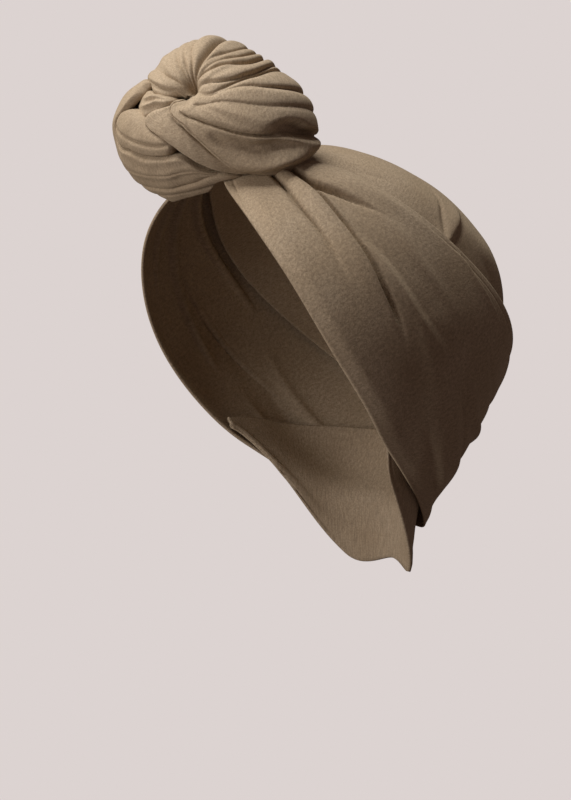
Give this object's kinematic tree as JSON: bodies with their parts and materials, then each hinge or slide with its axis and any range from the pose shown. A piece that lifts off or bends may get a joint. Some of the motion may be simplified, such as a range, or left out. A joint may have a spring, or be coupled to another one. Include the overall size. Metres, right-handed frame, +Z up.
{
  "type": "turban headwrap",
  "caption": "Soft jersey scarf wound round the head in layers and tied above the forehead, its ends twisted and coiled into a pleated bun.",
  "frame": {"origin": "where the top of the wearer's head meets the inside of the wrap, above the middle of the head", "axes": "+Z up, -Y the way the face looks, +X towards the wearer's left ear"},
  "size_m": [0.1626, 0.1942, 0.2547],
  "materials": {
    "jersey": "matte"
  },
  "bodies": {
    "root": {"crown_panel": "jersey", "nape_fold": "jersey", "wrap_right": "jersey", "wrap_left": "jersey", "knot_core": "jersey", "bun_fan": "jersey", "bun_strap": "jersey", "bun_inner_coil": "jersey", "bun_outer_loop": "jersey", "bun_upper_roll": "jersey", "bun_lower_roll": "jersey", "bun_back_coil": "jersey", "bun_tuck": "jersey"}
  },
  "joints": []
}
